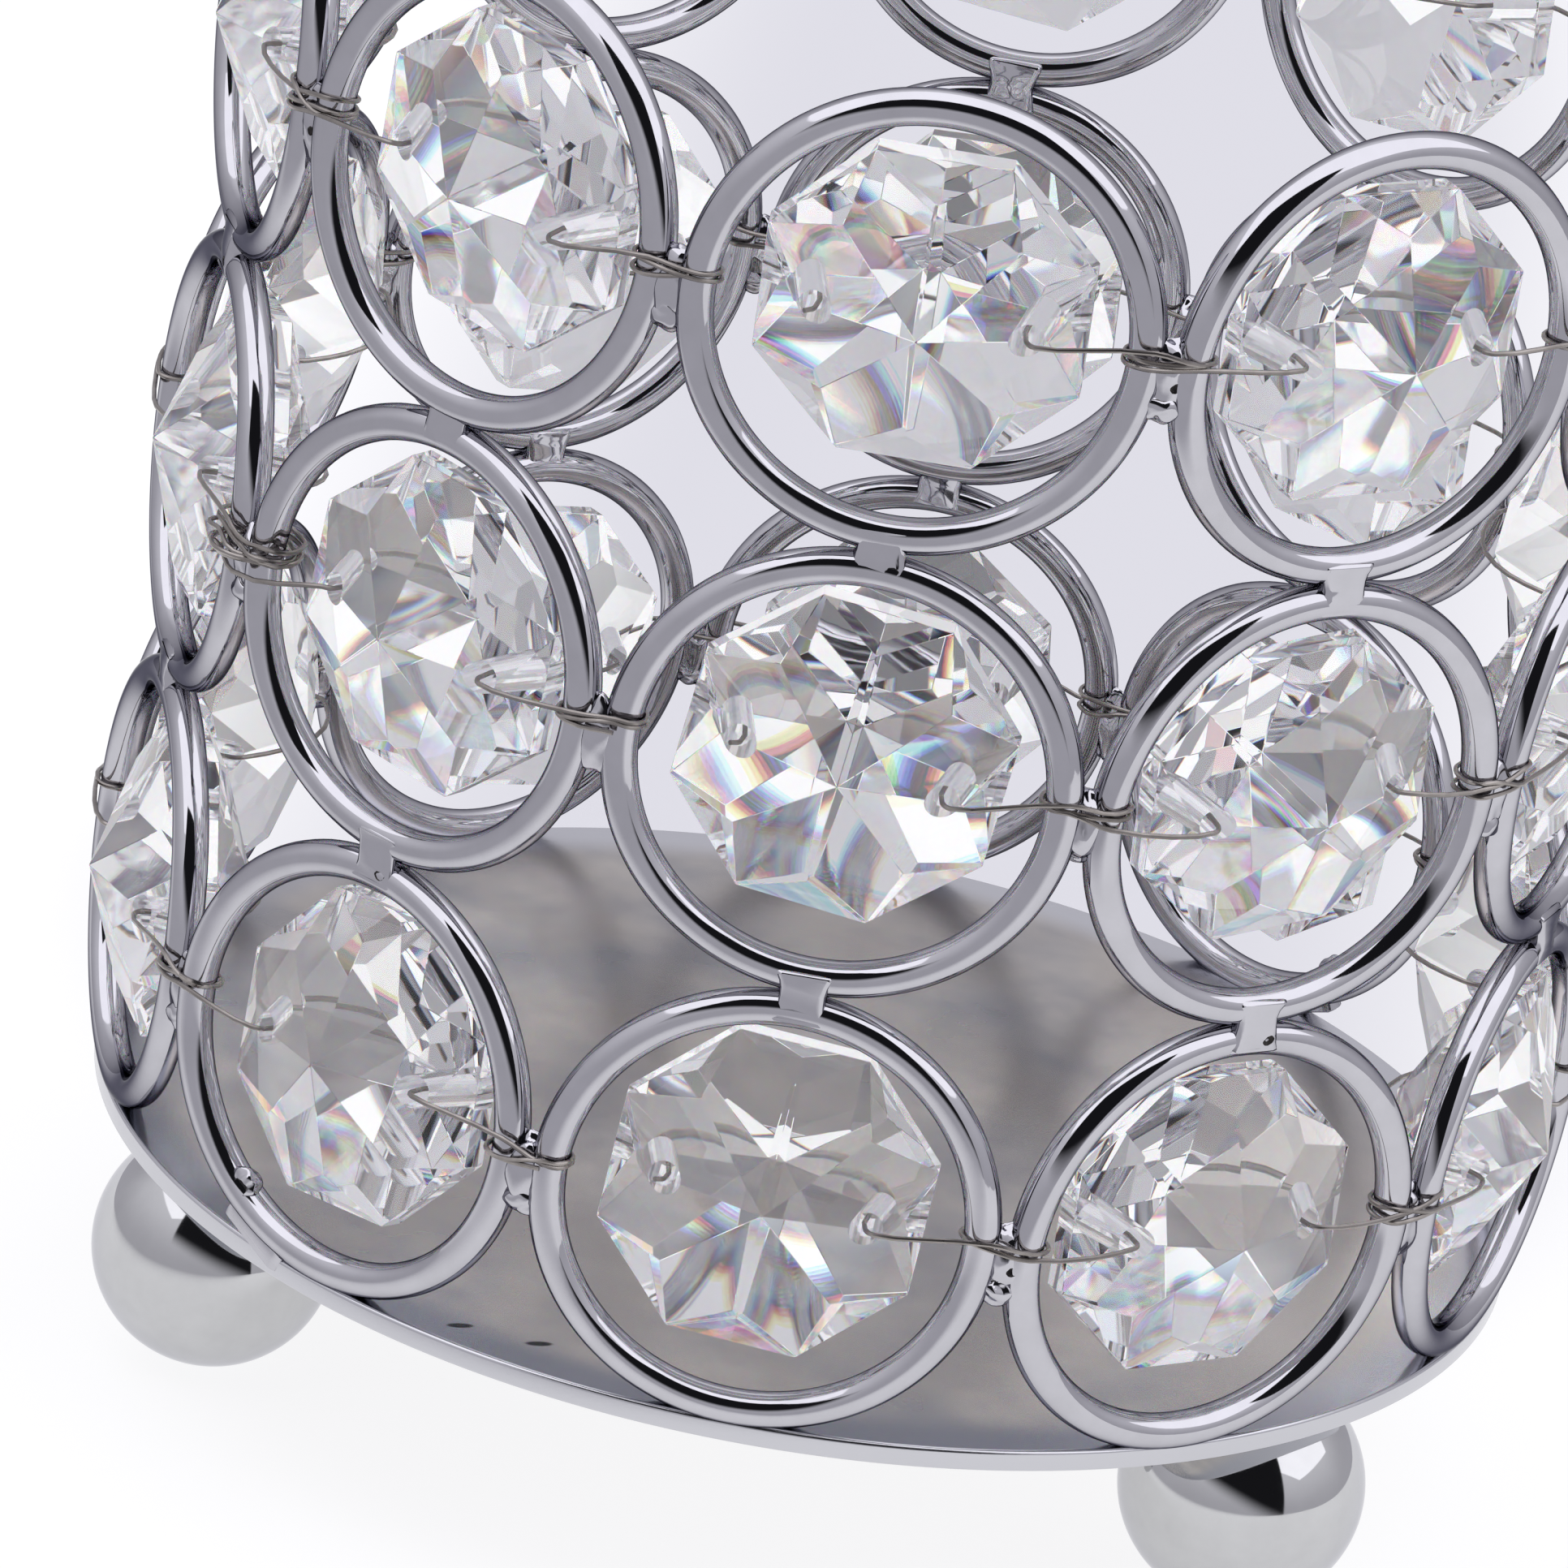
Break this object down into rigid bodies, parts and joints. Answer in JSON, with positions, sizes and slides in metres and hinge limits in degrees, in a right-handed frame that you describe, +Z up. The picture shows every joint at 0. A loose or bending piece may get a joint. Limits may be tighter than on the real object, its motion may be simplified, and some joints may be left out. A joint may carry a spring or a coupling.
{
  "type": "crystal votive holder",
  "caption": "Open drum of welded chrome rings, each with a faceted glass bead strung on wire, on a round plate with ball feet; a votive candle stands inside.",
  "frame": {"origin": "middle of the drum on the surface that the feet stand on", "axes": "+Z up along the drum's axis, -Y towards the column of rings in front"},
  "size_m": [0.0712, 0.071, 0.0738],
  "materials": {
    "chrome": "polished chrome plate",
    "satin_plate": "satin plate",
    "wire": "thin drawn wire",
    "bead_glass": "clear cut glass"
  },
  "bodies": {
    "stand": {"base_plate": "satin_plate", "ball_foot_right": "chrome", "ball_foot_back": "chrome", "ball_foot_left": "chrome", "ring_column_01": "chrome", "ring_column_02": "chrome", "ring_column_03": "chrome", "ring_column_04": "chrome", "ring_column_05": "chrome", "ring_column_06": "chrome", "ring_column_07": "chrome", "ring_column_08": "chrome", "ring_column_09": "chrome", "ring_column_10": "chrome", "stringing_wire_bottom": "wire", "stringing_wire_middle": "wire", "stringing_wire_top": "wire"},
    "bead_bottom_01": {"bead_bottom_01": "bead_glass"},
    "bead_bottom_02": {"bead_bottom_02": "bead_glass"},
    "bead_bottom_03": {"bead_bottom_03": "bead_glass"},
    "bead_bottom_04": {"bead_bottom_04": "bead_glass"},
    "bead_bottom_05": {"bead_bottom_05": "bead_glass"},
    "bead_bottom_06": {"bead_bottom_06": "bead_glass"},
    "bead_bottom_07": {"bead_bottom_07": "bead_glass"},
    "bead_bottom_08": {"bead_bottom_08": "bead_glass"},
    "bead_bottom_09": {"bead_bottom_09": "bead_glass"},
    "bead_bottom_10": {"bead_bottom_10": "bead_glass"},
    "bead_middle_01": {"bead_middle_01": "bead_glass"},
    "bead_middle_02": {"bead_middle_02": "bead_glass"},
    "bead_middle_03": {"bead_middle_03": "bead_glass"},
    "bead_middle_04": {"bead_middle_04": "bead_glass"},
    "bead_middle_05": {"bead_middle_05": "bead_glass"},
    "bead_middle_06": {"bead_middle_06": "bead_glass"},
    "bead_middle_07": {"bead_middle_07": "bead_glass"},
    "bead_middle_08": {"bead_middle_08": "bead_glass"},
    "bead_middle_09": {"bead_middle_09": "bead_glass"},
    "bead_middle_10": {"bead_middle_10": "bead_glass"},
    "bead_top_01": {"bead_top_01": "bead_glass"},
    "bead_top_02": {"bead_top_02": "bead_glass"},
    "bead_top_03": {"bead_top_03": "bead_glass"},
    "bead_top_04": {"bead_top_04": "bead_glass"},
    "bead_top_05": {"bead_top_05": "bead_glass"},
    "bead_top_06": {"bead_top_06": "bead_glass"},
    "bead_top_07": {"bead_top_07": "bead_glass"},
    "bead_top_08": {"bead_top_08": "bead_glass"},
    "bead_top_09": {"bead_top_09": "bead_glass"},
    "bead_top_10": {"bead_top_10": "bead_glass"}
  },
  "joints": [
    {"name": "bead_bottom_01_swing", "type": "hinge", "parent": "stand", "child": "bead_bottom_01", "pos_m": [0, -0.03171, 0.02251], "axis": [0.9978, 0, -0.0665], "range_deg": [-12, 12]},
    {"name": "bead_bottom_02_swing", "type": "hinge", "parent": "stand", "child": "bead_bottom_02", "pos_m": [0.01864, -0.02565, 0.02251], "axis": [0.809, 0.5878, 0.0106], "range_deg": [-12, 12]},
    {"name": "bead_bottom_03_swing", "type": "hinge", "parent": "stand", "child": "bead_bottom_03", "pos_m": [0.03015, -0.0098, 0.02251], "axis": [0.3087, 0.95, 0.0477], "range_deg": [-12, 12]},
    {"name": "bead_bottom_04_swing", "type": "hinge", "parent": "stand", "child": "bead_bottom_04", "pos_m": [0.03015, 0.0098, 0.02251], "axis": [-0.3076, 0.9468, -0.0948], "range_deg": [-12, 12]},
    {"name": "bead_bottom_05_swing", "type": "hinge", "parent": "stand", "child": "bead_bottom_05", "pos_m": [0.01864, 0.02565, 0.02251], "axis": [-0.8032, 0.5836, 0.1196], "range_deg": [-12, 12]},
    {"name": "bead_bottom_06_swing", "type": "hinge", "parent": "stand", "child": "bead_bottom_06", "pos_m": [0, 0.03171, 0.02251], "axis": [-0.9932, 0, -0.1166], "range_deg": [-12, 12]},
    {"name": "bead_bottom_07_swing", "type": "hinge", "parent": "stand", "child": "bead_bottom_07", "pos_m": [-0.01864, 0.02565, 0.02251], "axis": [-0.806, -0.5856, 0.0863], "range_deg": [-12, 12]},
    {"name": "bead_bottom_08_swing", "type": "hinge", "parent": "stand", "child": "bead_bottom_08", "pos_m": [-0.03015, 0.0098, 0.02251], "axis": [-0.3088, -0.9504, -0.0357], "range_deg": [-12, 12]},
    {"name": "bead_bottom_09_swing", "type": "hinge", "parent": "stand", "child": "bead_bottom_09", "pos_m": [-0.03015, -0.0098, 0.02251], "axis": [0.3089, -0.9508, -0.0233], "range_deg": [-12, 12]},
    {"name": "bead_bottom_10_swing", "type": "hinge", "parent": "stand", "child": "bead_bottom_10", "pos_m": [-0.01864, -0.02565, 0.02251], "axis": [0.8066, -0.586, 0.0768], "range_deg": [-12, 12]},
    {"name": "bead_middle_01_swing", "type": "hinge", "parent": "stand", "child": "bead_middle_01", "pos_m": [0, -0.03171, 0.04326], "axis": [0.9937, 0, -0.1122], "range_deg": [-12, 12]},
    {"name": "bead_middle_02_swing", "type": "hinge", "parent": "stand", "child": "bead_middle_02", "pos_m": [0.01864, -0.02565, 0.04326], "axis": [0.803, 0.5834, 0.1214], "range_deg": [-12, 12]},
    {"name": "bead_middle_03_swing", "type": "hinge", "parent": "stand", "child": "bead_middle_03", "pos_m": [0.03015, -0.0098, 0.04326], "axis": [0.3074, 0.9461, -0.1023], "range_deg": [-12, 12]},
    {"name": "bead_middle_04_swing", "type": "hinge", "parent": "stand", "child": "bead_middle_04", "pos_m": [0.03015, 0.0098, 0.04326], "axis": [-0.3085, 0.9494, 0.0592], "range_deg": [-12, 12]},
    {"name": "bead_middle_05_swing", "type": "hinge", "parent": "stand", "child": "bead_middle_05", "pos_m": [0.01864, 0.02565, 0.04326], "axis": [-0.809, 0.5878, -0.0021], "range_deg": [-12, 12]},
    {"name": "bead_middle_06_swing", "type": "hinge", "parent": "stand", "child": "bead_middle_06", "pos_m": [0, 0.03171, 0.04326], "axis": [-0.9985, 0, -0.0554], "range_deg": [-12, 12]},
    {"name": "bead_middle_07_swing", "type": "hinge", "parent": "stand", "child": "bead_middle_07", "pos_m": [-0.01864, 0.02565, 0.04326], "axis": [-0.805, -0.5848, 0.0999], "range_deg": [-12, 12]},
    {"name": "bead_middle_08_swing", "type": "hinge", "parent": "stand", "child": "bead_middle_08", "pos_m": [-0.03015, 0.0098, 0.04326], "axis": [-0.3067, -0.9441, -0.121], "range_deg": [-12, 12]},
    {"name": "bead_middle_09_swing", "type": "hinge", "parent": "stand", "child": "bead_middle_09", "pos_m": [-0.03015, -0.0098, 0.04326], "axis": [0.307, -0.9449, 0.1138], "range_deg": [-12, 12]},
    {"name": "bead_middle_10_swing", "type": "hinge", "parent": "stand", "child": "bead_middle_10", "pos_m": [-0.01864, -0.02565, 0.04326], "axis": [0.8064, -0.5859, -0.0801], "range_deg": [-12, 12]},
    {"name": "bead_top_01_swing", "type": "hinge", "parent": "stand", "child": "bead_top_01", "pos_m": [0, -0.03171, 0.06401], "axis": [0.9996, 0, 0.0275], "range_deg": [-12, 12]},
    {"name": "bead_top_02_swing", "type": "hinge", "parent": "stand", "child": "bead_top_02", "pos_m": [0.01864, -0.02565, 0.06401], "axis": [0.8086, 0.5875, 0.0316], "range_deg": [-12, 12]},
    {"name": "bead_top_03_swing", "type": "hinge", "parent": "stand", "child": "bead_top_03", "pos_m": [0.03015, -0.0098, 0.06401], "axis": [0.3079, 0.9478, -0.0832], "range_deg": [-12, 12]},
    {"name": "bead_top_04_swing", "type": "hinge", "parent": "stand", "child": "bead_top_04", "pos_m": [0.03015, 0.0098, 0.06401], "axis": [-0.307, 0.9447, 0.1153], "range_deg": [-12, 12]},
    {"name": "bead_top_05_swing", "type": "hinge", "parent": "stand", "child": "bead_top_05", "pos_m": [0.01864, 0.02565, 0.06401], "axis": [-0.8031, 0.5835, -0.1204], "range_deg": [-12, 12]},
    {"name": "bead_top_06_swing", "type": "hinge", "parent": "stand", "child": "bead_top_06", "pos_m": [0, 0.03171, 0.06401], "axis": [-0.9952, 0, 0.0974], "range_deg": [-12, 12]},
    {"name": "bead_top_07_swing", "type": "hinge", "parent": "stand", "child": "bead_top_07", "pos_m": [-0.01864, 0.02565, 0.06401], "axis": [-0.8079, -0.587, -0.0516], "range_deg": [-12, 12]},
    {"name": "bead_top_08_swing", "type": "hinge", "parent": "stand", "child": "bead_top_08", "pos_m": [-0.03015, 0.0098, 0.06401], "axis": [-0.309, -0.951, -0.0064], "range_deg": [-12, 12]},
    {"name": "bead_top_09_swing", "type": "hinge", "parent": "stand", "child": "bead_top_09", "pos_m": [-0.03015, -0.0098, 0.06401], "axis": [0.3084, -0.9492, 0.0629], "range_deg": [-12, 12]},
    {"name": "bead_top_10_swing", "type": "hinge", "parent": "stand", "child": "bead_top_10", "pos_m": [-0.01864, -0.02565, 0.06401], "axis": [0.8046, -0.5846, -0.1045], "range_deg": [-12, 12]}
  ]
}
